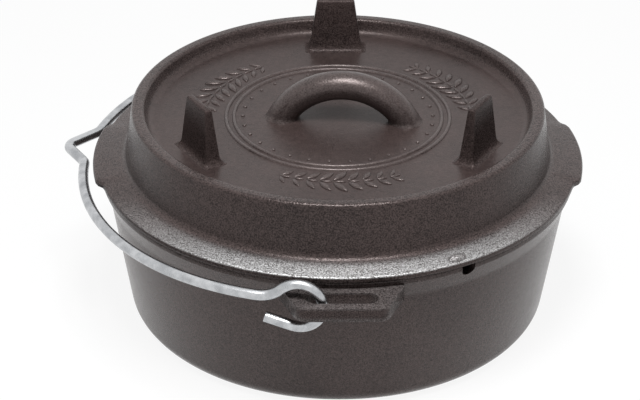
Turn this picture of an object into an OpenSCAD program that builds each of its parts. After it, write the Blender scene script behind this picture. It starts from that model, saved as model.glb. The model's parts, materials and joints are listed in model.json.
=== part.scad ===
/* [Pot] */
// Height of the pot from the ground to its rim
pot_h = 70; // [60:1:110]
// Outer radius of the wall where it would meet the ground
base_r = 94.4; // [85:0.1:120]
// Lean of the wall away from upright, in degrees
wall_lean = 8.6; // [4:0.1:12]
// Wall thickness, measured level
pot_wall = 5.3; // [4:0.1:8]
// Thickness of the pot's floor
pot_floor = 6; // [4:0.5:10]
// Rounding between the floor and the wall, outside
base_round = 8.4; // [4:0.1:14]
// Rounding between the floor and the wall, inside
inner_round = 10; // [4:0.5:16]
// Height of the thickened collar under the rim
collar_h = 10.5; // [6:0.5:16]
// How far the collar stands out from the line of the wall
collar_out = 1.6; // [0.5:0.1:3]

/* [Lugs] */
// Drop from the rim to the top of a lug
lug_drop = 2.5; // [2:0.1:8]
// Thickness of a lug
lug_t = 6.3; // [5:0.1:9]
// Width of the bar outside the slot
lug_bar = 4.2; // [3:0.1:8]
// Width of the web between the rim and the slot
lug_web = 3.6; // [3:0.1:8]
// Width of a lug at its outer edge
lug_tip_w = 36.6; // [34:0.1:44]
// Width of a lug where it leaves the wall
lug_root_w = 51.6; // [46:0.1:60]
// Length of the slot in a lug
slot_l = 29.6; // [26:0.1:32]
// Width of the slot beyond the wire's diameter
slot_play = 3.4; // [3:0.1:5]

/* [Thermometer notch] */
// Width of the half-round notch in the rim
notch_w = 6.4; // [5:0.1:9]
// Depth of the notch below the rim
notch_depth = 5.4; // [4.6:0.1:8]
// Direction of the notch around the pot, in degrees
notch_turn = -60; // [-70:1:-40]

/* [Lid] */
// How far the raised rim's top stands inside the pot's rim
rim_inset = 14.6; // [10:0.1:24]
// Height of the raised rim's top above the pot's rim
lid_h = 28.6; // [22:0.1:40]
// Width of the raised rim's top
rim_w = 5.5; // [4:0.1:8]
// Height of the raised rim above the lid's deck
rim_stand = 7; // [5:0.1:12]
// Thickness of the lid's deck and wall
lid_wall = 5.5; // [4:0.1:7]
// How far the lid's wall spreads from the rim down to the flange
wall_spread = 3.6; // [2:0.1:6]
// How far the flange reaches past the pot's rim
flange_over = 1; // [0.5:0.1:3]
// Height of the flange's outer edge
flange_edge = 2.6; // [2:0.1:4]
// Rise of the flange's top from its edge to the wall
flange_rise = 2; // [1:0.1:4]
// How far a lifting tab reaches past the flange
tab_out = 2.7; // [2:0.1:4]
// Width of a lifting tab across its corners
tab_w = 48; // [30:1:60]
// Depth of the lip that centres the lid in the pot
lip_depth = 4; // [2:0.5:6]
// Thickness of the centring lip
lip_t = 4.6; // [3:0.1:6]

/* [Lid feet] */
// Height of a foot above the deck
foot_h = 24.8; // [20:0.1:34]
// Distance from the raised rim's edge in to the middle of a foot
foot_inset = 22.4; // [18:0.1:32]
// Width of a foot at the deck
foot_base_w = 24.6; // [18:0.1:30]
// Width of a foot at its top
foot_top_w = 17.4; // [12:0.1:18]
// Thickness of a foot at the deck
foot_base_t = 7.4; // [5:0.1:9]
// Thickness of a foot at its top
foot_top_t = 3.2; // [2:0.1:5]

/* [Lid handle] */
// Distance between the handle's ends, centre to centre at the deck
handle_span = 55.9; // [50:0.1:66]
// Rise of the bar's centre line above the deck
handle_rise = 16.7; // [14:0.1:24]
// Thickness of the bar
handle_t = 12.7; // [9:0.1:14]
// How much wider than thick the bar is
handle_flat = 0.9; // [0.5:0.1:4]
// Turn of the handle about the lid's axis, in degrees
handle_turn = -5; // [-15:1:15]
// Offset of the handle from the lid's axis, to the right
handle_shift = 2.5; // [-4:0.1:4]
// Offset of the handle from the lid's axis, to the front
handle_fore = 2.6; // [-4:0.1:4]

/* [Bail] */
// Diameter of the bail's wire
wire_d = 4.6; // [4:0.1:6]
// Distance from a slot's end to the middle of the bail's eye
eye_set = 3.2; // [2:0.1:4]
// How far the eyes sit back from the middle of the slots
eye_back = 1.1; // [0.8:0.1:1.4]
// Height of the arms' plane above the hinge axis
arm_lift = 4.2; // [3:0.1:5]
// Radius of the bend between an eye and its arm
neck_r = 12.4; // [8:0.1:18]
// Length of the wire's straight tail
tail_l = 11.8; // [6:0.1:16]
// Rise of the tail towards its end, in degrees
tail_rise = 18; // [8:1:30]
// Drop of the resting bail towards its middle, in degrees
rest_drop = 1.5; // [0:0.1:2]
// How far the near eye hangs below the middle of its lug
eye_hang = 1.1; // [0:0.1:2]
// Inward turn of an arm where it leaves its neck, in degrees
arm_turn = 10; // [6:0.5:14]
// Radius of the bend that turns an arm inward
turn_r = 20; // [12:1:40]
// Slope of the two legs of the hanging kink, in degrees
kink_slope = 40; // [30:1:55]
// Half of the kink's width, as an angle of the bail's arc
kink_half = 8; // [6:0.5:12]
// Bend radius where the kink begins
kink_base_r = 6; // [4:0.5:10]
// Bend radius at the kink's tip
kink_tip_r = 5; // [4:0.5:8]

/* [Clearances] */
// Gap between the lid's seat and the pot's rim
seat_gap = 0.3; // [0.2:0.1:0.6]
// Gap between the centring lip and the pot's wall
lip_gap = 0.8; // [0.5:0.1:2]
// Gap between the resting bail and a lug
bail_gap = 0.4; // [0.3:0.05:1]
// Play of an eye around its post
eye_play = 0.7; // [0.4:0.1:2]

/* [Hidden] */
$fn = 96;
steps = 6;
iron = [0.21, 0.19, 0.18];
zinc = [0.78, 0.79, 0.8];

// Pot
lean = tan(wall_lean);
collar_z = pot_h - collar_h;
collar_edge = 2.4;
rim_round = 0.8;
block_w = notch_w * 4;
block_h = notch_depth * 2;
pot_rim_r = base_r + lean * pot_h + collar_out;
function outer_r(z) = base_r + lean * z;
function inner_r(z) = outer_r(z) - pot_wall;

// Lugs, with the slot set out from the rim
lug_top = pot_h - lug_drop;
lug_low = lug_top - lug_t;
slot_w = wire_d + slot_play;
slot_y = pot_rim_r + lug_web + slot_w / 2;
lug_reach = slot_y + slot_w / 2 + lug_bar;
lug_corner_r = 6;
lug_edge = 1.8;
lug_blend = 5;
lug_sink = 0.5;
lug_root_y = inner_r(lug_low) - pot_wall;
lug_flare_y = pot_rim_r - collar_out;
lug_side = (lug_root_w - lug_tip_w) / 2 / (lug_reach - lug_flare_y);
function lug_half(y) = lug_tip_w / 2 + lug_side * (lug_reach - y);

// Lid heights and radii
seat_z = pot_h + seat_gap;
rim_z = pot_h + lid_h;
rim_r = pot_rim_r - rim_inset;
deck_z = rim_z - rim_stand;
flange_r = pot_rim_r + flange_over;
crease_r = rim_r + wall_spread;
crease_z = seat_z + flange_edge + flange_rise;
lip_r = inner_r(pot_h - lip_depth) - lip_gap;
hollow_r = rim_r - lid_wall;
deck_low = deck_z - lid_wall;
deck_r = rim_r - rim_w;
rim_edge = 1.4;
deck_round = 3.5;
crease_round = 2.5;
hollow_round = 6;
lip_edge = 0.6;
tab_r = flange_r + tab_out;
tab_side = 5;
tab_round = 5;
tab_root = tab_w / 2 + tab_side;
mark_stand = 1.6;
mark_r = (flange_edge + flange_rise / 2 + mark_stand - seat_gap) / 2;
mark_out = flange_r - mark_r - rim_round;
mark_turn = notch_turn - 2.5;

// Lid feet
back_turn = 90;
foot_step = 120;
foot_out = rim_r - foot_inset;
foot_flare = 3.2;
foot_edge = 0.9;
foot_sink = 2;

// Handle arch
arch_r = (pow(handle_span / 2, 2) + pow(handle_rise, 2)) / (2 * handle_rise);
arch_z = deck_z + handle_rise - arch_r;
arch_sink = 3;
arch_half = acos((arch_r - handle_rise - arch_sink) / arch_r);

// Bail: each eye goes round one post of its lug, on opposite sides of the pot
wire_r = wire_d / 2;
drawn_d = wire_d - 0.2;
join_l = 0.6;
eye_x = slot_l / 2 + eye_set;
eye_y = slot_y - eye_back;
arm_fall = (eye_x + lug_half(eye_y)) * sin(rest_drop);
far_z = lug_top + wire_r + bail_gap - arm_lift + arm_fall;
post_half = max(lug_half(eye_y) - eye_x, eye_set);
eye_r = norm([post_half, far_z - lug_low]) + eye_play + wire_r;
near_z = (lug_top + lug_low) / 2 - eye_hang;
axis_z = (far_z + near_z) / 2;
axis_half = norm([eye_x, eye_y, (far_z - near_z) / 2]);
axis_skew = atan2(eye_x, eye_y);
axis_roll = asin((far_z - near_z) / 2 / axis_half);
neck_turn = acos((arm_lift + neck_r) / (eye_r + neck_r));
neck_run = (eye_r + neck_r) * sin(neck_turn);
bail_r = (axis_half - turn_r) / cos(arm_turn) + turn_r;
bail_c = neck_run + (turn_r - bail_r) * sin(arm_turn);
kink_c = (bail_r + kink_base_r) * [cos(180 - kink_half), sin(180 - kink_half)] - [bail_c, 0];
kink_foot = kink_c + kink_base_r * [cos(kink_slope), -sin(kink_slope)];
kink_leg = (kink_foot.y - kink_tip_r * sin(kink_slope)) / cos(kink_slope);
tip_c = kink_foot.x - kink_leg * sin(kink_slope) + kink_tip_r * cos(kink_slope);

function unit(v) = v / norm(v);
function flat(p) = [p.x, p.y];
function turn_to(a, b) = (b - a + 900) % 360 - 180;

// Points of one corner of an outline: a third number in q is its rounding
function corner(p, q, s) =
    let (round = len(q) > 2 ? q[2] : 0)
    round == 0 ? [flat(q)] :
    let (a = unit(flat(p) - flat(q)))
    let (b = unit(flat(s) - flat(q)))
    let (half = acos(a * b) / 2)
    let (c = flat(q) + unit(a + b) * round / sin(half))
    let (from = flat(q) + a * round / tan(half) - c)
    let (to = flat(q) + b * round / tan(half) - c)
    let (start = atan2(from.y, from.x))
    let (turn = turn_to(start, atan2(to.y, to.x)))
    [for (i = [0 : steps]) c + round * [cos(start + turn * i / steps), sin(start + turn * i / steps)]];

function outline(points) =
    let (n = len(points))
    [for (i = [0 : n - 1]) each corner(points[(i + n - 1) % n], points[i], points[(i + 1) % n])];

module lathe(points) {
    rotate_extrude() polygon(outline(points));
}

module pot_outside() {
    lathe([
        [0, 0],
        [base_r, 0, base_round],
        [outer_r(collar_z), collar_z, collar_h],
        [pot_rim_r, pot_h - collar_edge, collar_edge / 2],
        [pot_rim_r, pot_h, rim_round],
        [0, pot_h]
    ]);
}

module pot_inside() {
    lathe([
        [0, pot_floor],
        [inner_r(pot_floor), pot_floor, inner_round],
        [inner_r(pot_h), pot_h],
        [inner_r(pot_h), pot_h + 1],
        [0, pot_h + 1]
    ]);
}

// One lug on the -Y side: its plan and its side view, cut from each other
module lug() {
    intersection() {
        translate([0, 0, lug_low - lug_blend * 2])
            linear_extrude(lug_t + lug_blend * 2)
                polygon(outline([
                    [-lug_root_w / 2, -lug_root_y],
                    [-lug_root_w / 2, -lug_flare_y],
                    [-lug_tip_w / 2, -lug_reach, lug_corner_r],
                    [lug_tip_w / 2, -lug_reach, lug_corner_r],
                    [lug_root_w / 2, -lug_flare_y],
                    [lug_root_w / 2, -lug_root_y]
                ]));
        rotate([90, 0, -90])
            linear_extrude(lug_root_w, center = true)
                polygon(outline([
                    [lug_root_y, lug_top],
                    [lug_reach, lug_top, lug_edge / 3],
                    [lug_reach, lug_low, lug_edge],
                    [pot_rim_r + lug_web / 2, lug_low, lug_blend],
                    [outer_r(lug_low - lug_blend) - lug_sink, lug_low - lug_blend],
                    [lug_root_y, lug_low - lug_blend]
                ]));
    }
}

module slot() {
    run = slot_l - slot_w;
    translate([0, -slot_y, lug_low - lug_blend])
        linear_extrude(lug_t + lug_blend * 2) {
            square([run, slot_w], center = true);
            for (x = [-run / 2, run / 2])
                translate([x, 0])
                    circle(d = slot_w);
        }
}

module rim_notch() {
    reach = pot_wall * 4;
    rotate([0, 0, notch_turn])
        translate([pot_rim_r, 0, pot_h - notch_depth + notch_w / 2]) {
            rotate([0, 90, 0])
                cylinder(d = notch_w, h = reach, center = true);
            translate([-reach / 2, -notch_w / 2, 0])
                cube([reach, notch_w, notch_depth]);
        }
}

// The length of rim that has the notch in it
module rim_block() {
    rotate([0, 0, notch_turn])
        translate([pot_rim_r - pot_wall * 3, -block_w / 2, pot_h - block_h])
            cube([pot_wall * 5, block_w, block_h * 2]);
}

module pot() {
    color(iron)
        difference() {
            pot_outside();
            pot_inside();
            rim_block();
        }
}

module notch_rim() {
    color(iron)
        difference() {
            intersection() {
                pot_outside();
                rim_block();
            }
            pot_inside();
            rim_notch();
        }
}

// A lug ends where the pot's wall begins
module lug_piece(turn) {
    color(iron)
        rotate([0, 0, turn])
            difference() {
                lug();
                pot_outside();
                slot();
            }
}

module lid_shell() {
    lathe([
        [0, deck_low],
        [hollow_r, deck_low, hollow_round],
        [crease_r - lid_wall, seat_z],
        [lip_r - lip_t, seat_z],
        [lip_r - lip_t, seat_z - lip_depth, lip_edge],
        [lip_r, seat_z - lip_depth, lip_edge],
        [lip_r, seat_z],
        [flange_r, seat_z],
        [flange_r, seat_z + flange_edge, rim_round],
        [crease_r, crease_z, crease_round],
        [rim_r, rim_z, rim_edge],
        [deck_r, rim_z, rim_edge],
        [deck_r - rim_edge, deck_z, deck_round],
        [0, deck_z]
    ]);
}

// One lifting tab on the +X side, a low step on the flange's edge
module lid_tab() {
    translate([0, 0, seat_z])
        linear_extrude(flange_edge)
            intersection() {
                circle(r = tab_r);
                polygon(outline([
                    [crease_r, -tab_root],
                    [sqrt(pow(flange_r, 2) - pow(tab_root, 2)), -tab_root],
                    [tab_r, -tab_w / 2, tab_round],
                    [tab_r, tab_w / 2, tab_round],
                    [sqrt(pow(flange_r, 2) - pow(tab_root, 2)), tab_root],
                    [crease_r, tab_root]
                ]));
            }
}

module foot_view(base, top, depth) {
    rotate([90, 0, 0])
        linear_extrude(depth, center = true)
            polygon(outline([
                [-base / 2 - foot_flare, 0],
                [-base / 2, 0, foot_flare],
                [-top / 2, foot_h, foot_edge],
                [top / 2, foot_h, foot_edge],
                [base / 2, 0, foot_flare],
                [base / 2 + foot_flare, 0],
                [base / 2 + foot_flare, -foot_sink],
                [-base / 2 - foot_flare, -foot_sink]
            ]));
}

// One foot: a thin plate that stands square to the lid's radius and tapers upward
module lid_foot(turn) {
    color(iron)
        rotate([0, 0, turn])
            translate([foot_out, 0, deck_z])
                intersection() {
                    rotate([0, 0, 90])
                        foot_view(foot_base_w, foot_top_w, foot_base_w);
                    foot_view(foot_base_t, foot_top_t, foot_base_w * 2);
                    cylinder(r = foot_base_w * 2, h = foot_h * 2);
                }
}

module handle_arch() {
    translate([handle_shift, -handle_fore, arch_z])
        rotate([0, 0, handle_turn])
            rotate([90, 0, 0])
                rotate([0, 0, 90 - arch_half])
                    rotate_extrude(angle = 2 * arch_half)
                        translate([arch_r, 0]) {
                            square([handle_t, handle_flat], center = true);
                            for (side = [-1, 1])
                                translate([0, side * handle_flat / 2])
                                    circle(d = handle_t);
                        }
}

// The arch stands on the deck
module lid_handle() {
    color(iron)
        intersection() {
            handle_arch();
            translate([0, 0, deck_z])
                cylinder(r = handle_span, h = handle_rise + handle_t);
        }
}

// A small cast bump on the flange shows where the notch is
module notch_mark() {
    rotate([0, 0, mark_turn])
        translate([mark_out, 0, seat_z + seat_gap + mark_r])
            sphere(r = mark_r);
}

module lid() {
    color(iron)
        union() {
            lid_shell();
            for (turn = [0, 180])
                rotate([0, 0, turn])
                    lid_tab();
            notch_mark();
        }
}

// A bend of the wire in the plane of its parent, about that plane's origin
module bend(radius, from, to) {
    rotate([0, 0, from])
        rotate_extrude(angle = to - from)
            translate([radius, 0])
                circle(d = wire_d);
}

// A bend where the wire is drawn a little thinner; its ends run into the full wire
module drawn_bend(radius, from, to) {
    past = join_l / radius * 180 / PI;
    rotate([0, 0, from - past])
        rotate_extrude(angle = to - from + 2 * past)
            translate([radius, 0])
                circle(d = drawn_d);
}

// A straight drawn length from the origin, in the direction given in degrees
module drawn_run(length, direction) {
    rotate([0, 0, direction])
        translate([-join_l, 0, 0])
            rotate([0, 90, 0])
                cylinder(d = drawn_d, h = length + 2 * join_l);
}

// The eye, its straight tail and the neck that leads to the arm
module bail_eye() {
    tail = -90 - tail_rise;
    translate(eye_r * [cos(tail), sin(tail)])
        drawn_run(tail_l - join_l, tail - 90);
    bend(eye_r, tail, 90 + neck_turn);
    translate((eye_r + neck_r) * [-sin(neck_turn), cos(neck_turn)])
        drawn_bend(neck_r, -90, -90 + neck_turn);
}

// Half of the bail, from its eye on the +Y side to the kink's tip
module bail_half() {
    translate([0, axis_half, 0])
        rotate([90, 0, 0])
            bail_eye();
    translate([0, 0, arm_lift]) {
        translate([-neck_run, axis_half - turn_r])
            bend(turn_r, 90, 90 + arm_turn);
        translate([-bail_c, 0])
            drawn_bend(bail_r, 90 + arm_turn, 180 - kink_half);
        translate(kink_c)
            bend(kink_base_r, -kink_slope, -kink_half);
        translate(kink_foot)
            drawn_run(kink_leg, -90 - kink_slope);
    }
}

module bail() {
    color(zinc)
        translate([0, 0, axis_z])
            rotate([axis_roll, 0, -axis_skew])
                rotate([0, -rest_drop, 0]) {
                    bail_half();
                    mirror([0, 1, 0])
                        bail_half();
                    translate([tip_c, 0, arm_lift])
                        bend(kink_tip_r, 180 - kink_slope, 180 + kink_slope);
                }
}

pot();
notch_rim();
lug_piece(0);  // lug_front
lug_piece(180);  // lug_rear
lid();
lid_handle();
lid_foot(back_turn);  // foot_back
lid_foot(back_turn + foot_step);  // foot_left
lid_foot(back_turn - foot_step);  // foot_right
bail();
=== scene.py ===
import json
import math
import bmesh
import bpy
from mathutils import Matrix, Vector

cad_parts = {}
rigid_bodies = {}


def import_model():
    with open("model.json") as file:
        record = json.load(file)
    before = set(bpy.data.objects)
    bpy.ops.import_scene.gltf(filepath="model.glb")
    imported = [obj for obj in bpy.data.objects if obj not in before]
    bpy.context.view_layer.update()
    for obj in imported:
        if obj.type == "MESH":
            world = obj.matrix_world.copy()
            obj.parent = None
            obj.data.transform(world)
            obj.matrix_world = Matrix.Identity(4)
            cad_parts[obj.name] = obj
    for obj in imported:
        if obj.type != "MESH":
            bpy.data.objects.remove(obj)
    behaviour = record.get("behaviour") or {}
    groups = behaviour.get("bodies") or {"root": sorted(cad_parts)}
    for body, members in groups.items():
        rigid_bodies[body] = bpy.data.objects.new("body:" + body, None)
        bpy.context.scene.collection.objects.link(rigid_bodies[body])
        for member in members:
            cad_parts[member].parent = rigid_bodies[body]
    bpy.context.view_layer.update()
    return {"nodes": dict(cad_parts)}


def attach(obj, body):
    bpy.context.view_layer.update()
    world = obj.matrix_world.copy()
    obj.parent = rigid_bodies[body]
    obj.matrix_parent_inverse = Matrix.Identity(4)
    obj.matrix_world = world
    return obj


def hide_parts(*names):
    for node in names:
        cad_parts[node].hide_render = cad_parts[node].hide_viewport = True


for old in list(bpy.data.objects):          # the startup scene's own things
    bpy.data.objects.remove(old)
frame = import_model()
scene = bpy.context.scene
scene.view_settings.view_transform = "Standard"
mm = 0.001
print("frame loaded:", sorted(frame["nodes"]))


# shader sockets with maths written as expressions
class Shade:
    def __init__(self, tree, socket=None):
        self.tree, self.socket = tree, socket

    def node(self, kind, settings, inputs, out=0):
        made = self.tree.nodes.new(kind)
        for name, value in settings.items():        # settings first, they can change the sockets
            setattr(made, name, value)
        for name, value in inputs.items():
            if isinstance(value, Shade):
                self.tree.links.new(value.socket, made.inputs[name])
            else:
                made.inputs[name].default_value = value
        return Shade(self.tree, made.outputs[out] if len(made.outputs) else None)

    def calc(self, operation, a, b=0.0):
        return self.node("ShaderNodeMath", {"operation": operation}, {0: a, 1: b})

    def __add__(self, other):
        return self.calc("ADD", self, other)

    def __radd__(self, other):
        return self.calc("ADD", other, self)

    def __sub__(self, other):
        return self.calc("SUBTRACT", self, other)

    def __rsub__(self, other):
        return self.calc("SUBTRACT", other, self)

    def __mul__(self, other):
        return self.calc("MULTIPLY", self, other)

    def __rmul__(self, other):
        return self.calc("MULTIPLY", other, self)

    def __pow__(self, other):
        return self.calc("POWER", self, other)

    def step(self, low, high):              # smooth 0 to 1 between two values
        return self.node("ShaderNodeMapRange", {"interpolation_type": "SMOOTHSTEP"},
                         {"Value": self, "From Min": low, "From Max": high})

    def mix(self, dark, light):             # this value picks between two colours
        return self.node("ShaderNodeMix", {"data_type": "RGBA"}, {0: self, 6: dark, 7: light}, 2)

    def noise(self, where, scale, detail=2.0, rough=0.5):
        return self.node("ShaderNodeTexNoise", {},
                         {"Vector": where, "Scale": scale, "Detail": detail, "Roughness": rough})


def newMaterial(name):
    material = bpy.data.materials.new(name)
    material.use_nodes = True
    material.node_tree.nodes.clear()
    return material, Shade(material.node_tree)


def closeMaterial(shade, surface):
    shade.node("ShaderNodeOutputMaterial", {}, {"Surface": surface})


def spots(shade):                           # object coordinates, apart and as a radius
    where = shade.node("ShaderNodeTexCoord", {}, {}, "Object")
    x, y, z = [shade.node("ShaderNodeSeparateXYZ", {}, {0: where}, axis) for axis in range(3)]
    return where, y, (x * x + y * y) ** 0.5, z


# scales are per metre; Deck values count in the smooth places, Sand values in the sandy ones
ironLook = {
    "dark": (0.0095, 0.0062, 0.0058, 1), "light": (0.064, 0.0442, 0.0414, 1),
    "glint": (0.50, 0.50, 0.50, 1), "tint": (1.0, 0.85, 0.82, 1),
    "grain": 1650.0, "sand": 520.0, "cloud": 24.0, "speckle": 3.0, "speckleDeck": 1.9, "drift": 0.8,
    "fleck": (0.22, 0.80), "fleckAll": 0.04, "fleckDeck": 0.03, "fleckSand": 0.85, "fleckMetal": 1.2,
    "rough": 0.21, "roughDrift": 0.16, "roughSand": 0.20, "roughDeck": 0.11,
    "fineAll": 0.70, "fineSand": 0.30, "fineDeck": 0.40, "sandAll": 0.30, "sandSand": 0.35, "cloudAll": 0.5,
    "bump": 0.55, "bumpDepth": 0.00045,
}


# seasoned cast iron; skin gives two masks, the rough sandy places and the smooth ones
def ironMaterial(name, skin, shine, bump=ironLook["bump"]):
    look = ironLook
    material, shade = newMaterial(name)
    where, depth, radius, height = spots(shade)
    fine = shade.noise(where, look["grain"], 1.5, 0.6)
    sand = shade.noise(where, look["sand"], 3.0, 0.65)
    cloud = shade.noise(where, look["cloud"], 4.0, 0.6)
    sandy, plain = skin(depth, radius, height)
    tone = (fine - 0.5) * (look["speckle"] - plain * look["speckleDeck"]) \
        + (sand - 0.5) * look["drift"] + (cloud - 0.5) * look["drift"] + 0.5
    flecks = look["fleckAll"] - plain * look["fleckDeck"] + sandy * look["fleckSand"]
    glint = fine.step(*look["fleck"]) * flecks
    colour = glint.mix(tone.mix(look["dark"], look["light"]), look["glint"])
    rough = look["rough"] + (fine - 0.5) * look["roughDrift"] + (cloud - 0.5) * look["roughDrift"] \
        + sandy * look["roughSand"] + plain * look["roughDeck"]
    relief = fine * (look["fineAll"] + sandy * look["fineSand"] - plain * look["fineDeck"]) \
        + sand * (look["sandAll"] + sandy * look["sandSand"]) + cloud * look["cloudAll"]
    normal = shade.node("ShaderNodeBump", {},
                        {"Strength": bump, "Distance": look["bumpDepth"], "Height": relief})
    surface = shade.node("ShaderNodeBsdfPrincipled", {}, {
        "Base Color": colour, "Roughness": rough, "Metallic": glint * look["fleckMetal"], "IOR": shine,
        "Specular Tint": look["tint"], "Normal": normal})
    closeMaterial(shade, surface)
    return material


def evenSkin(sandy, plain):                 # a skin that is the same all over
    return lambda depth, radius, height: (sandy, plain)


# pairs are where a mask starts and where it is full, in metres
lidSkin = {
    "flangeTop": (0.0752, 0.0775), "flangeLow": (0.0721, 0.0728), "flangeIn": (0.0965, 0.1010),
    "front": (0.035, 0.105), "outer": (0.097, 0.105), "outerPaintedHighlight": 0.4,
    "deck": (0.087, 0.091), "fillet": (0.0925, 0.0940), "filletLoss": 0.6, "deckEdge": (0.0862, 0.0882),
}


def lidSand(depth, radius, height):         # sandy on the flange, its light flecks weighted to the front and outer edge as a painted highlight; smooth on the deck
    skin = lidSkin
    flange = (1 - height.step(*skin["flangeTop"])) * radius.step(*skin["flangeIn"]) \
        * height.step(*skin["flangeLow"])
    # painted highlight: the light flecks grow towards the front and the outer edge, painting the lit front of
    # the flange lighter
    front = (-1 * depth).step(*skin["front"]) * (1.0 + radius.step(*skin["outer"]) * skin["outerPaintedHighlight"])
    deck = height.step(*skin["deck"]) * (1 - height.step(*skin["fillet"]) * skin["filletLoss"]) \
        * (1 - radius.step(*skin["deckEdge"]))
    return flange * front, deck


lugSkin = {
    "root": (0.1055, 0.1075), "top": (0.0662, 0.0674), "topSand": 0.16,
    "bar": (0.1165, 0.1185), "under": (0.0622, 0.0636), "underSand": 0.20,
}


def lugSand(depth, radius, height):         # sandy on top; sandy flecks on the rounding under the front bar paint a lighter band there, a painted reflection of the floor
    skin = lugSkin
    top = radius.step(*skin["root"]) * height.step(*skin["top"])
    # painted reflection: the flecks under the bar lighten its lower rounding
    under = radius.step(*skin["bar"]) * (1 - height.step(*skin["under"]))
    return top * skin["topSand"] + under * skin["underSand"], 0.0


# the same iron gets a different shine by piece: the feet's low shine and smoother skin paint them darker, as
# painted shade; the higher shine of the pot and of the handle, also used on the relief, paints them brighter,
# as a painted sheen
ironLid = ironMaterial("seasonedIronLid", lidSand, 1.34)
ironPot = ironMaterial("seasonedIronPot", evenSkin(0.0, 0.0), 1.42)
ironHandle = ironMaterial("seasonedIronHandle", evenSkin(0.05, 0.8), 1.52)
ironLug = ironMaterial("seasonedIronLug", lugSand, 1.30)
ironFeet = ironMaterial("seasonedIronFeet", evenSkin(0.0, 0.6), 1.18)
ironBump = ironMaterial("seasonedIronBump", evenSkin(0.8, 0.0), 1.38, 0.8)

zincLook = {
    "bright": (0.60, 0.61, 0.625, 1), "dull": (0.36, 0.37, 0.385, 1), "streak": 260.0, "haze": 60.0,
    "streakShare": 0.6, "hazeShare": 0.5, "mask": (0.35, 0.75), "rough": 0.30, "polish": 0.08,
    "bump": 0.18, "bumpDepth": 0.0002,
}


def zincMaterial():
    look = zincLook
    material, shade = newMaterial("brightZinc")
    where = spots(shade)[0]
    spangle = shade.noise(where, look["streak"], 3.0, 0.6)
    haze = shade.noise(where, look["haze"], 2.0, 0.5)
    mask = (spangle * look["streakShare"] + haze * look["hazeShare"]).step(*look["mask"])
    normal = shade.node("ShaderNodeBump", {},
                        {"Strength": look["bump"], "Distance": look["bumpDepth"], "Height": spangle})
    surface = shade.node("ShaderNodeBsdfPrincipled", {}, {
        "Base Color": mask.mix(look["dull"], look["bright"]), "Metallic": 1.0,
        "Roughness": look["rough"] - mask * look["polish"], "Normal": normal})
    closeMaterial(shade, surface)
    return material


zinc = zincMaterial()
print("materials made")


# mesh helpers, sizes in millimetres until the mesh is closed
def rounded(points, steps=8):               # points are (x, y) or (x, y, rounding)
    count, line = len(points), []
    for i, point in enumerate(points):
        here = Vector(point[:2])
        size = point[2] if len(point) > 2 else 0
        if not size:
            line.append(here)
            continue
        back = (Vector(points[i - 1][:2]) - here).normalized()
        on = (Vector(points[(i + 1) % count][:2]) - here).normalized()
        half = back.angle(on) / 2
        centre = here + (back + on).normalized() * size / math.sin(half)
        first = here + back * size / math.tan(half) - centre
        last = here + on * size / math.tan(half) - centre
        turn = first.angle_signed(last)
        for k in range(steps + 1):
            spun = first.copy()
            spun.rotate(Matrix.Rotation(-turn * k / steps, 2))
            line.append(centre + spun)
    return line


def toObject(bm, name, material, smooth=35):
    bmesh.ops.scale(bm, vec=(mm, mm, mm), verts=bm.verts)
    mesh = bpy.data.meshes.new(name)
    bm.to_mesh(mesh)
    bm.free()
    piece = bpy.data.objects.new(name, mesh)
    scene.collection.objects.link(piece)
    mesh.materials.append(material)
    mesh.shade_smooth()
    mesh.set_sharp_from_angle(angle=math.radians(smooth))
    return piece


def lathe(line, steps=288):                 # a closed wall from a profile of (radius, height)
    bm = bmesh.new()
    verts = [bm.verts.new((p.x, 0, p.y)) for p in line]
    edges = [bm.edges.new(pair) for pair in zip(verts, verts[1:])]
    bmesh.ops.spin(bm, geom=verts + edges, cent=(0, 0, 0), axis=(0, 0, 1), angle=math.tau,
                   steps=steps, use_merge=True)
    bmesh.ops.remove_doubles(bm, verts=bm.verts, dist=0.002)
    bmesh.ops.recalc_face_normals(bm, faces=bm.faces)
    return bm


def slab(line, low, high, turn=Matrix.Identity(4)):     # an outline made solid along z, then turned
    bm = bmesh.new()
    face = bm.faces.new([bm.verts.new((p.x, p.y, low)) for p in line])
    pushed = bmesh.ops.extrude_face_region(bm, geom=[face])["geom"]
    lifted = [v for v in pushed if isinstance(v, bmesh.types.BMVert)]
    bmesh.ops.translate(bm, vec=(0, 0, high - low), verts=lifted)
    bmesh.ops.transform(bm, matrix=turn, verts=bm.verts)
    bmesh.ops.recalc_face_normals(bm, faces=bm.faces)
    return bm


def carve(piece, tool, operation):          # a boolean, applied, and its tool put away
    cut = piece.modifiers.new("carve", "BOOLEAN")
    cut.object, cut.operation, cut.solver = tool, operation, "EXACT"
    bpy.context.view_layer.update()
    shaped = bpy.data.meshes.new_from_object(piece.evaluated_get(bpy.context.evaluated_depsgraph_get()))
    piece.modifiers.clear()
    piece.data = shaped
    bpy.data.objects.remove(tool)


def easeEdges(piece, width, angle, chosen=None, steps=3):      # rounds the sharp edges as a casting's are
    bm = bmesh.new()
    bm.from_mesh(piece.data)
    bmesh.ops.remove_doubles(bm, verts=bm.verts, dist=1e-6)
    sharp = [e for e in bm.edges if len(e.link_faces) == 2 and e.calc_face_angle() > math.radians(angle)
             and (not chosen or all(chosen(v.co / mm) for v in e.verts))]
    bmesh.ops.bevel(bm, geom=sharp, offset=width * mm, offset_type="OFFSET", affect="EDGES", segments=steps,
                    profile=0.5, material=-1, clamp_overlap=True)
    bm.to_mesh(piece.data)
    bm.free()
    piece.data.shade_smooth()
    piece.data.set_sharp_from_angle(angle=math.radians(50))


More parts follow.
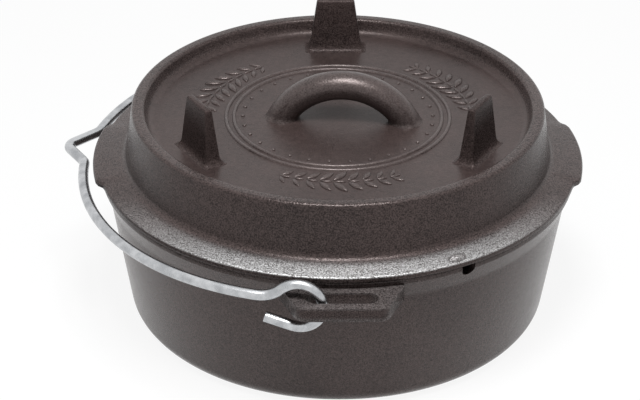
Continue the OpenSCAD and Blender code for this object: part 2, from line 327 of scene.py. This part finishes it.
# pot
pot = {
    "height": 70.0, "baseR": 94.4, "lean": math.tan(math.radians(8.6)), "wall": 5.3, "floor": 6.0,
    "baseRound": 8.4, "innerRound": 10.0, "collarH": 10.5, "collarOut": 1.6, "collarEdge": 2.4,
    "collarRound": 1.2, "rimRound": 0.9,
}
pot["rimR"] = pot["baseR"] + pot["lean"] * pot["height"] + pot["collarOut"]


def potOuter(z):
    return pot["baseR"] + pot["lean"] * z


def potInner(z):
    return potOuter(z) - pot["wall"]


def makePot():
    collarZ = pot["height"] - pot["collarH"]
    bm = lathe(rounded([
        (0, 0), (pot["baseR"], 0, pot["baseRound"]), (potOuter(collarZ), collarZ, pot["collarH"]),
        (pot["rimR"], pot["height"] - pot["collarEdge"], pot["collarRound"]),
        (pot["rimR"], pot["height"], pot["rimRound"]),
        (potInner(pot["height"]), pot["height"], pot["rimRound"]),
        (potInner(pot["floor"]), pot["floor"], pot["innerRound"]), (0, pot["floor"])]))
    return toObject(bm, "potBody", ironPot)


notch = {"width": 6.4, "depth": 5.4, "turn": -60.0, "above": 3, "past": 12}


def notchTool():
    low, half = pot["height"] - notch["depth"], notch["width"] / 2
    line = rounded([(-half, low, half - 0.01), (half, low, half - 0.01),
                    (half, pot["height"] + notch["above"]), (-half, pot["height"] + notch["above"])])
    turn = Matrix.Rotation(math.radians(notch["turn"]), 4, "Z") @ Matrix.Rotation(math.radians(90), 4, "Z") \
        @ Matrix.Rotation(math.radians(90), 4, "X")
    solid = slab(line, pot["rimR"] - notch["past"], pot["rimR"] + notch["past"], turn)
    return toObject(solid, "notchTool", ironPot)


potBody = makePot()
carve(potBody, notchTool(), "DIFFERENCE")
potBody.data.shade_smooth()
potBody.data.set_sharp_from_angle(angle=math.radians(40))

lug = {
    "drop": 2.5, "thick": 6.3, "bar": 4.2, "web": 3.6, "tipW": 36.6, "rootW": 51.6, "slotL": 29.6,
    "slotW": 8.0, "corner": 6.0, "blend": 5.0, "barRound": 2.4, "easing": 0.7,
    "bite": 0.4, "deep": 12, "past": 4, "cut": (40, 80),
}
lug["top"] = pot["height"] - lug["drop"]
lug["low"] = lug["top"] - lug["thick"]
lug["slotY"] = pot["rimR"] + lug["web"] + lug["slotW"] / 2
lug["reach"] = lug["slotY"] + lug["slotW"] / 2 + lug["bar"]


def makeLug(name, turn):
    half, tip, flare = lug["rootW"] / 2, lug["tipW"] / 2, pot["rimR"] - pot["collarOut"]
    root = potInner(lug["low"]) + pot["wall"] * lug["bite"]
    plan = rounded([(-half, -root), (-half, -flare), (-tip, -lug["reach"], lug["corner"]),
                    (tip, -lug["reach"], lug["corner"]), (half, -flare), (half, -root)])
    plate = toObject(slab(plan, lug["low"] - lug["deep"], lug["top"]), name, ironLug)
    high, far = lug["top"] + lug["past"], lug["reach"] + lug["past"]
    side = rounded([(root, high), (far, high), (far, lug["low"]),
                    (pot["rimR"] + lug["web"] / 2, lug["low"], lug["blend"]),
                    (potOuter(lug["low"] - lug["blend"]), lug["low"] - lug["blend"]),
                    (root, lug["low"] - lug["blend"])])
    tool = toObject(lathe(side + side[:1]), "lugTool", ironPot)
    carve(plate, tool, "INTERSECT")         # its underside follows the wall
    end, wide = lug["slotL"] / 2, lug["slotW"] / 2
    slot = rounded([(-end, -lug["slotY"] - wide, wide - 0.01), (end, -lug["slotY"] - wide, wide - 0.01),
                    (end, -lug["slotY"] + wide, wide - 0.01), (-end, -lug["slotY"] + wide, wide - 0.01)])
    carve(plate, toObject(slab(slot, *lug["cut"]), "slotTool", ironPot), "DIFFERENCE")
    barIn = lug["slotY"] + lug["slotW"] / 2 + 1
    easeEdges(plate, lug["barRound"], 40, lambda p: abs(p.z - lug["low"]) < 0.1 and abs(p.y) > barIn)
    easeEdges(plate, lug["easing"], 40)
    plate.data.transform(Matrix.Rotation(math.radians(turn), 4, "Z"))
    return plate


frontLug, rearLug = makeLug("lugFront", 0), makeLug("lugRear", 180)
print("pot made")


# lid
lid = {
    "seat": 70.3, "rimZ": 98.6, "rimR": pot["rimR"] - 14.6, "rimW": 5.5, "stand": 7.0, "wall": 5.5,
    "spread": 3.6, "over": 1.0, "edge": 2.6, "rise": 2.0, "lipDepth": 4.0, "lipT": 4.6, "lipGap": 0.8,
    "tabOut": 2.7, "tabW": 48.0, "tabBand": 1.6, "tabEase": 5,
    "innerRound": 6, "lipRound": 0.8, "lipCrease": 0.4, "seatRound": 0.7, "edgeRound": 1.1,
    "creaseRound": 3.2, "rimRound": 1.7, "deckIn": 1.4, "deckRound": 4.2,
}
lid["deck"] = lid["rimZ"] - lid["stand"]
lid["flangeR"] = pot["rimR"] + lid["over"]
lid["creaseR"] = lid["rimR"] + lid["spread"]
lid["creaseZ"] = lid["seat"] + lid["edge"] + lid["rise"]


def makeLid():
    low, deckR = lid["deck"] - lid["wall"], lid["rimR"] - lid["rimW"]
    lipR = potInner(pot["height"] - lid["lipDepth"]) - lid["lipGap"]
    lipZ, lipIn, lipRound = lid["seat"] - lid["lipDepth"], lipR - lid["lipT"], lid["lipRound"]
    bm = lathe(rounded([
        (0, low), (lid["rimR"] - lid["wall"], low, lid["innerRound"]),
        (lid["creaseR"] - lid["wall"], lid["seat"], lipRound), (lipIn, lid["seat"], lipRound),
        (lipIn, lipZ, lipRound), (lipR, lipZ, lipRound), (lipR, lid["seat"], lid["lipCrease"]),
        (lid["flangeR"], lid["seat"], lid["seatRound"]),
        (lid["flangeR"], lid["seat"] + lid["edge"], lid["edgeRound"]),
        (lid["creaseR"], lid["creaseZ"], lid["creaseRound"]), (lid["rimR"], lid["rimZ"], lid["rimRound"]),
        (deckR, lid["rimZ"], lid["rimRound"]), (deckR - lid["deckIn"], lid["deck"], lid["deckRound"]),
        (0, lid["deck"])]))
    for vert in bm.verts:                   # the two lifting tabs swell out of the flange's edge
        radius = math.hypot(vert.co.x, vert.co.y)
        across = abs(vert.co.y) - lid["tabW"] / 2
        if radius > lid["flangeR"] - lid["tabBand"] and across < lid["tabEase"]:
            ease = max(0.0, min(1.0, 1 - across / lid["tabEase"]))
            grow = 1 + lid["tabOut"] * ease * ease * (3 - 2 * ease) / radius
            vert.co.x, vert.co.y = vert.co.x * grow, vert.co.y * grow
    return toObject(bm, "lidShell", ironLid)


foot = {
    "height": 24.8, "inset": 22.4, "baseW": 24.6, "topW": 17.4, "baseT": 7.4, "topT": 3.2,
    "flare": 3.4, "flareShare": 0.64, "edge": 0.9, "edgeShare": 0.8, "corner": 1.1, "sink": 1.5,
    "turns": (90, 210, 330),
}


def makeFeet():
    bm = bmesh.new()
    out = lid["rimR"] - foot["inset"]
    for turn in foot["turns"]:
        made = bmesh.ops.create_grid(bm, x_segments=1, y_segments=1, size=0.5)["verts"]
        bmesh.ops.scale(bm, vec=(foot["baseT"], foot["baseW"], 1), verts=made)
        bmesh.ops.bevel(bm, geom=made, offset=foot["corner"], offset_type="OFFSET", affect="VERTICES",
                        segments=4, profile=0.5, material=-1)
        face = max({f for v in bm.verts if v.co.z == 0 for f in v.link_faces}, key=lambda f: f.calc_area())
        fillet = [foot["flare"] * (1 - math.cos(math.radians(a))) for a in (18, 36, 54, 72, 90)]
        top = [foot["height"] - foot["edge"] * (1 - math.sin(math.radians(a))) for a in (0, 30, 60, 90)]
        heights = [-foot["sink"], 0.0] + fillet + [foot["height"] * s for s in (0.3, 0.5, 0.7, 0.85)] + top
        was = (foot["baseT"], foot["baseW"], 0.0)
        for z in heights:
            share = max(0.0, z) / foot["height"]
            thick = foot["baseT"] + (foot["topT"] - foot["baseT"]) * share
            wide = foot["baseW"] + (foot["topW"] - foot["baseW"]) * share
            if z < foot["flare"]:           # hollow fillet into the deck
                rest = 1 - max(0.0, z) / foot["flare"]
                skirt = foot["flare"] * (1 - math.sqrt(1 - rest * rest)) * 2 * foot["flareShare"]
                thick, wide = thick + skirt, wide + skirt
            over = z - (foot["height"] - foot["edge"])
            if over > 0:                    # eased top edge
                trim = 2 * foot["edge"] * (1 - math.sqrt(1 - (over / foot["edge"]) ** 2)) * foot["edgeShare"]
                thick, wide = thick - trim, wide - trim
            pushed = bmesh.ops.extrude_face_region(bm, geom=[face])["geom"]
            verts = [v for v in pushed if isinstance(v, bmesh.types.BMVert)]
            old, face = face, [f for f in pushed if isinstance(f, bmesh.types.BMFace)][0]
            bm.faces.remove(old)
            bmesh.ops.translate(bm, vec=(0, 0, z - was[2]), verts=verts)
            bmesh.ops.scale(bm, vec=(thick / was[0], wide / was[1], 1), verts=verts)
            was = (thick, wide, z)
        stand = Matrix.Rotation(math.radians(turn), 4, "Z") @ Matrix.Translation((out, 0, lid["deck"]))
        bmesh.ops.transform(bm, matrix=stand, verts=[v for v in bm.verts if math.hypot(v.co.x, v.co.y) < 30])
    bmesh.ops.recalc_face_normals(bm, faces=bm.faces)
    return toObject(bm, "lidFeet", ironFeet, 60)


handle = {
    "span": 55.9, "rise": 16.7, "thick": 12.7, "wide": 13.6, "turn": -5.0, "shift": 2.5, "fore": 2.6,
    "flare": 1.4, "flareShare": 0.7, "sink": 3,
}


def makeHandle():
    archR = ((handle["span"] / 2) ** 2 + handle["rise"] ** 2) / (2 * handle["rise"])
    archZ = handle["rise"] - archR
    half = math.acos((archR - handle["rise"] - handle["sink"]) / archR)
    bm = bmesh.new()
    ring = bmesh.ops.create_circle(bm, segments=40, radius=1.0)["verts"]        # in the xy plane
    bmesh.ops.scale(bm, vec=(handle["thick"] / 2, handle["wide"] / 2, 1), verts=ring)
    bmesh.ops.translate(bm, vec=(archR, 0, 0), verts=ring)
    bmesh.ops.rotate(bm, cent=(0, 0, 0), matrix=Matrix.Rotation(half - math.pi / 2, 3, "Y"), verts=ring)
    bmesh.ops.spin(bm, geom=ring + list(bm.edges), cent=(0, 0, 0), axis=(0, -1, 0), angle=2 * half, steps=72)
    bmesh.ops.translate(bm, vec=(0, 0, archZ), verts=bm.verts)
    for vert in bm.verts:                   # the ends spread into the deck
        side = math.copysign(handle["span"] / 2, vert.co.x)
        if vert.co.z < handle["flare"]:
            rest = min(1.0, 1 - max(0.0, vert.co.z) / handle["flare"])
            skirt = handle["flare"] * (1 - math.sqrt(1 - rest * rest)) * handle["flareShare"]
            away = Vector((vert.co.x - side, vert.co.y, 0))
            if away.length > 0.5:
                vert.co += away.normalized() * skirt
    place = Matrix.Translation((handle["shift"], -handle["fore"], lid["deck"])) \
        @ Matrix.Rotation(math.radians(handle["turn"]), 4, "Z")
    bmesh.ops.transform(bm, matrix=place, verts=bm.verts)
    bmesh.ops.recalc_face_normals(bm, faces=bm.faces)
    return toObject(bm, "lidHandle", ironHandle, 60)


mark = {"radius": 2.45, "turn": -62.5, "spread": (1.0, 1.8, 0.85), "inset": 0.8, "gap": 0.3}


def makeMark():
    bm = bmesh.new()
    made = bmesh.ops.create_uvsphere(bm, u_segments=28, v_segments=16, radius=mark["radius"])["verts"]
    out = lid["flangeR"] - mark["radius"] - mark["inset"]
    place = Matrix.Rotation(math.radians(mark["turn"]), 4, "Z") \
        @ Matrix.Translation((out, 0, lid["seat"] + mark["gap"] + mark["radius"]))
    bmesh.ops.scale(bm, vec=mark["spread"], verts=made)
    bmesh.ops.transform(bm, matrix=place, verts=made)
    return toObject(bm, "lidBump", ironBump, 60)


relief = {
    "rings": (46.5, 50.0), "ridge": 1.5, "raise": 0.8, "shoulder": 0.55, "sunk": 0.3,
    "pips": 30, "pipR": 42.6, "pip": (1.0, 0.8, 0.6),
    "sprays": (30, 150, 270), "stemR": 60.0, "stem": (2.6, 0.75, 0.6), "reach": 26.0,
    "leaf": (4.9, 1.8, 1.1), "leaves": 4, "leafOut": 4.6, "leafLean": 52, "shrink": 0.09, "point": 0.55,
}


def makeRelief():                           # plain rings, pips and sprays of leaves, cast proud of the deck
    deck, up, half, sunk = lid["deck"], relief["raise"], relief["ridge"] / 2, relief["sunk"]
    bm = bmesh.new()
    for radius in relief["rings"]:
        line = [(-half - sunk, -sunk), (-half, up * relief["shoulder"]), (-half * 0.5, up),
                (half * 0.5, up), (half, up * relief["shoulder"]), (half + sunk, -sunk)]
        verts = [bm.verts.new((radius + x, 0, deck + z)) for x, z in line]
        edges = [bm.edges.new(pair) for pair in zip(verts, verts[1:])]
        bmesh.ops.spin(bm, geom=verts + edges, cent=(0, 0, 0), axis=(0, 0, 1), angle=math.tau, steps=240,
                       use_merge=True)

    def bead(size, place):                  # one low rounded boss
        made = bmesh.ops.create_uvsphere(bm, u_segments=14, v_segments=8, radius=1.0)["verts"]
        for vert in made:                   # its ends run to a point
            vert.co.y *= 1 - relief["point"] * abs(vert.co.x) ** 1.5
        bmesh.ops.scale(bm, vec=size, verts=made)
        bmesh.ops.transform(bm, matrix=place, verts=made)

    for k in range(relief["pips"]):
        turn = Matrix.Rotation(math.tau * k / relief["pips"], 4, "Z")
        bead(relief["pip"], turn @ Matrix.Translation((relief["pipR"], 0, deck)))
    along = Matrix.Rotation(math.pi / 2, 4, "Z")
    for middle in relief["sprays"]:
        for k in range(-relief["leaves"], relief["leaves"] + 1):
            small = 1 - abs(k) * relief["shrink"]           # leaves in pairs, smaller towards the ends
            angle = middle + relief["reach"] * k / (relief["leaves"] + 0.5)
            turn = Matrix.Rotation(math.radians(angle), 4, "Z")
            for side in (-1, 1):
                lean = Matrix.Rotation(math.radians(90 - relief["leafLean"] * side), 4, "Z")
                size = [v * small for v in relief["leaf"]]
                out = relief["stemR"] + side * relief["leafOut"] * small
                bead(size, turn @ Matrix.Translation((out, 0, deck)) @ lean)
            bead(relief["stem"], turn @ Matrix.Translation((relief["stemR"], 0, deck)) @ along)
    bmesh.ops.recalc_face_normals(bm, faces=bm.faces)
    return toObject(bm, "lidRelief", ironHandle, 60)


lidShell, lidFeet, lidHandle = makeLid(), makeFeet(), makeHandle()
lidBump, lidRelief = makeMark(), makeRelief()
print("lid made")


# bail
bail = {
    "wire": 4.6, "eyeSet": 3.2, "eyeBack": 1.1, "armLift": 4.2, "neckR": 12.4, "tail": 11.8, "tailRise": 18.0,
    "restDrop": 1.5, "eyeHang": 1.1, "armTurn": 10.0, "turnR": 20.0, "kinkSlope": 40.0, "kinkHalf": 8.0,
    "kinkBaseR": 6.0, "kinkTipR": 5.0, "gap": 0.4, "play": 0.7, "endEdge": 0.35,
}


def makeBail():
    b = bail
    wireR = b["wire"] / 2
    deg = math.radians
    eyeX, eyeY = lug["slotL"] / 2 + b["eyeSet"], lug["slotY"] - b["eyeBack"]
    lugHalf = lug["tipW"] / 2 + (lug["rootW"] - lug["tipW"]) / 2 * (lug["reach"] - eyeY) \
        / (lug["reach"] - pot["rimR"] + pot["collarOut"])
    farZ = lug["top"] + wireR + b["gap"] - b["armLift"] + (eyeX + lugHalf) * math.sin(deg(b["restDrop"]))
    eyeR = math.hypot(max(lugHalf - eyeX, b["eyeSet"]), farZ - lug["low"]) + b["play"] + wireR
    nearZ = (lug["top"] + lug["low"]) / 2 - b["eyeHang"]
    axisHalf = math.sqrt(eyeX ** 2 + eyeY ** 2 + ((farZ - nearZ) / 2) ** 2)
    skew, roll = math.atan2(eyeX, eyeY), math.asin((farZ - nearZ) / 2 / axisHalf)
    neckTurn = math.acos((b["armLift"] + b["neckR"]) / (eyeR + b["neckR"]))
    neckRun = (eyeR + b["neckR"]) * math.sin(neckTurn)
    bowR = (axisHalf - b["turnR"]) / math.cos(deg(b["armTurn"])) + b["turnR"]
    bowC = neckRun + (b["turnR"] - bowR) * math.sin(deg(b["armTurn"]))
    slope, kinkHalf = deg(b["kinkSlope"]), deg(b["kinkHalf"])
    kinkR = bowR + b["kinkBaseR"]
    kinkC = Vector((-kinkR * math.cos(kinkHalf) - bowC, kinkR * math.sin(kinkHalf)))
    kinkFoot = kinkC + b["kinkBaseR"] * Vector((math.cos(slope), -math.sin(slope)))
    leg = (kinkFoot.y - b["kinkTipR"] * math.sin(slope)) / math.cos(slope)
    tipC = kinkFoot.x - leg * math.sin(slope) + b["kinkTipR"] * math.cos(slope)

    bm = bmesh.new()
    ring = bmesh.ops.create_circle(bm, segments=28, radius=wireR)["verts"]
    bmesh.ops.rotate(bm, cent=(0, 0, 0), matrix=Matrix.Rotation(math.pi / 2, 3, "X"), verts=ring)
    bmesh.ops.translate(bm, vec=(tipC - b["kinkTipR"], 0, b["armLift"]), verts=ring)
    last = ring + list(bm.edges)

    def bend(centre, axis, angle, radius):  # the wire's end ring swings round a centre
        steps = max(4, int(abs(angle) * radius / 1.6))
        spun = bmesh.ops.spin(bm, geom=last, cent=centre, axis=axis, angle=angle, steps=min(steps, 110))
        return spun["geom_last"]

    def run(step):                          # or goes straight on
        ends = [e for e in last if isinstance(e, bmesh.types.BMEdge)]
        made = bmesh.ops.extrude_edge_only(bm, edges=ends)["geom"]
        verts = [v for v in made if isinstance(v, bmesh.types.BMVert)]
        bmesh.ops.translate(bm, vec=step, verts=verts)
        edges = [e for e in made if isinstance(e, bmesh.types.BMEdge)]
        return verts + [e for e in edges if all(v in verts for v in e.verts)]

    up, side, lift = (0, 0, 1), (0, -1, 0), b["armLift"]
    last = bend((tipC, 0, lift), up, -slope, b["kinkTipR"])
    last = run((leg * math.sin(slope), leg * math.cos(slope), 0))
    last = bend((kinkC.x, kinkC.y, lift), up, slope - kinkHalf, b["kinkBaseR"])
    last = bend((-bowC, 0, lift), up, -(math.pi / 2 - kinkHalf - deg(b["armTurn"])), bowR)
    last = bend((-neckRun, axisHalf - b["turnR"], lift), up, -deg(b["armTurn"]), b["turnR"])
    last = bend((-neckRun, axisHalf, lift + b["neckR"]), side, neckTurn, b["neckR"])
    last = bend((0, axisHalf, 0), side, -(math.pi + deg(b["tailRise"]) + neckTurn), eyeR)
    out = math.pi - deg(b["tailRise"])
    last = run((b["tail"] * math.cos(out), 0, b["tail"] * math.sin(out)))
    endEdges = [e for e in last if isinstance(e, bmesh.types.BMEdge)]
    bmesh.ops.edgenet_fill(bm, edges=endEdges)
    bmesh.ops.bevel(bm, geom=endEdges, offset=b["endEdge"], offset_type="OFFSET", affect="EDGES", segments=2,
                    profile=0.5, material=-1)
    bmesh.ops.mirror(bm, geom=list(bm.verts) + list(bm.edges) + list(bm.faces), axis="Y", merge_dist=0.01)
    bmesh.ops.remove_doubles(bm, verts=bm.verts, dist=0.005)
    bmesh.ops.recalc_face_normals(bm, faces=bm.faces)
    place = Matrix.Translation((0, 0, (farZ + nearZ) / 2)) @ Matrix.Rotation(-skew, 4, "Z") \
        @ Matrix.Rotation(roll, 4, "X") @ Matrix.Rotation(-deg(b["restDrop"]), 4, "Y")
    bmesh.ops.transform(bm, matrix=place, verts=bm.verts)
    return toObject(bm, "bailWire", zinc, 50)


bailWire = makeBail()
print("bail made")

for piece, body, finish, stands in (
        (potBody, "pot", "iron", ("pot", "notch_rim")), (frontLug, "pot", "iron", ("lug_front",)),
        (rearLug, "pot", "iron", ("lug_rear",)), (lidShell, "lid", "iron", ("lid",)),
        (lidFeet, "lid", "iron", ("foot_back", "foot_left", "foot_right")),
        (lidHandle, "lid", "iron", ("lid_handle",)), (lidBump, "lid", "iron", ()),
        (lidRelief, "lid", "iron", ()), (bailWire, "bail", "zinc_wire", ("bail",))):
    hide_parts(*stands)
    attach(piece, body)
print("pieces ride on their bodies")


# studio: pale floor, two soft boxes, a dim sky and a white backdrop
studio = {
    "floor": 0.36, "floorBack": 0.06, "floorTone": 0.94, "backdrop": 0.90, "horizon": 0.12, "sky": 0.12,
    "skyRise": (0.2, 0.9), "frontShade": 0.20, "frontRise": (0.1, 0.8),
}


def backdropRay(shade):                     # rays that see the white backdrop, straight or in a reflection
    camera, glossy, through = [shade.node("ShaderNodeLightPath", {}, {}, kind)
                               for kind in ("Is Camera Ray", "Is Glossy Ray", "Is Transmission Ray")]
    return shade.calc("MAXIMUM", shade.calc("MAXIMUM", camera, glossy), through)


def makeFloor():
    bm = bmesh.new()
    made = bmesh.ops.create_circle(bm, cap_ends=True, segments=96, radius=studio["floor"])["verts"]
    bmesh.ops.translate(bm, vec=(0, studio["floorBack"], 0), verts=made)
    mesh = bpy.data.meshes.new("floor")
    bm.to_mesh(mesh)
    bm.free()
    floor = bpy.data.objects.new("floor", mesh)
    scene.collection.objects.link(floor)
    material, shade = newMaterial("paleFloor")
    tone = studio["floorTone"]
    paper = shade.node("ShaderNodeBsdfDiffuse", {}, {"Color": (tone, tone, tone, 1)})
    glow = shade.node("ShaderNodeEmission", {}, {"Color": (1, 1, 1, 1), "Strength": 1.0})
    share = backdropRay(shade) * studio["backdrop"]         # the rest is paper, which keeps the shadow
    closeMaterial(shade, shade.node("ShaderNodeMixShader", {}, {0: share, 1: paper, 2: glow}))
    mesh.materials.append(material)


def makeWorld():
    world = bpy.data.worlds.new("studioSky")
    scene.world = world
    world.use_nodes = True
    world.node_tree.nodes.clear()
    shade = Shade(world.node_tree)
    where = shade.node("ShaderNodeTexCoord", {}, {}, "Generated")
    depth, height = [shade.node("ShaderNodeSeparateXYZ", {}, {0: where}, axis) for axis in (1, 2)]
    front = (-1 * depth).step(*studio["frontRise"])
    even = studio["horizon"] + height.step(*studio["skyRise"]) * studio["sky"]
    light = even * (1 - front * studio["frontShade"])
    seen = backdropRay(shade)
    power = seen + (1 - seen) * light
    sky = shade.node("ShaderNodeBackground", {}, {"Color": (1, 1, 1, 1), "Strength": power})
    shade.node("ShaderNodeOutputWorld", {}, {"Surface": sky})


softBoxes = [
    {"name": "topBox", "at": (0.0, -0.24, 0.88), "to": (0, 0.0, 0.07),
     "size": (0.22, 0.24), "power": 7.0, "tint": (0.97, 0.99, 1)},
    {"name": "frontBox", "at": (0.0, -0.30, 0.70), "to": (0, -0.18, 0),
     "size": (0.60, 0.20), "power": 1.6, "tint": (1, 0.97, 0.95)},
]


def makeLights():
    for box in softBoxes:
        lamp = bpy.data.lights.new(box["name"], "AREA")
        lamp.shape, lamp.size, lamp.size_y = "RECTANGLE", *box["size"]
        lamp.energy, lamp.color = box["power"], box["tint"]
        holder = bpy.data.objects.new(box["name"], lamp)
        holder.location = box["at"]
        holder.rotation_euler = (Vector(box["to"]) - Vector(box["at"])).to_track_quat("-Z", "Y").to_euler()
        scene.collection.objects.link(holder)


view = {
    "far": 879.6, "high": 555.7, "turn": -1.2, "yaw": -0.515, "pitch": 29.994, "roll": 0.171, "lens": 124.764,
}


def makeCamera():
    turn, yaw, pitch, roll = [math.radians(view[k]) for k in ("turn", "yaw", "pitch", "roll")]
    spin = Matrix.Rotation(turn, 3, "Z")
    flat = math.cos(pitch)
    ahead = spin @ Vector((math.sin(yaw) * flat, math.cos(yaw) * flat, -math.sin(pitch)))
    right = ahead.cross(Vector((0, 0, 1))).normalized()
    top = right.cross(ahead)
    across = right * math.cos(roll) + top * math.sin(roll)
    up = top * math.cos(roll) - right * math.sin(roll)
    lens = bpy.data.cameras.new("camera")
    lens.lens, lens.sensor_width = view["lens"], 36.0
    lens.clip_start, lens.clip_end = 0.05, 50.0
    camera = bpy.data.objects.new("camera", lens)
    place = Matrix((across, up, -ahead)).transposed().to_4x4()
    place.translation = spin @ Vector((0, -view["far"], view["high"])) * mm
    camera.matrix_world = place
    scene.collection.objects.link(camera)
    scene.camera = camera


makeFloor()
makeWorld()
makeLights()
makeCamera()
print("studio made")

bpy.context.view_layer.update()
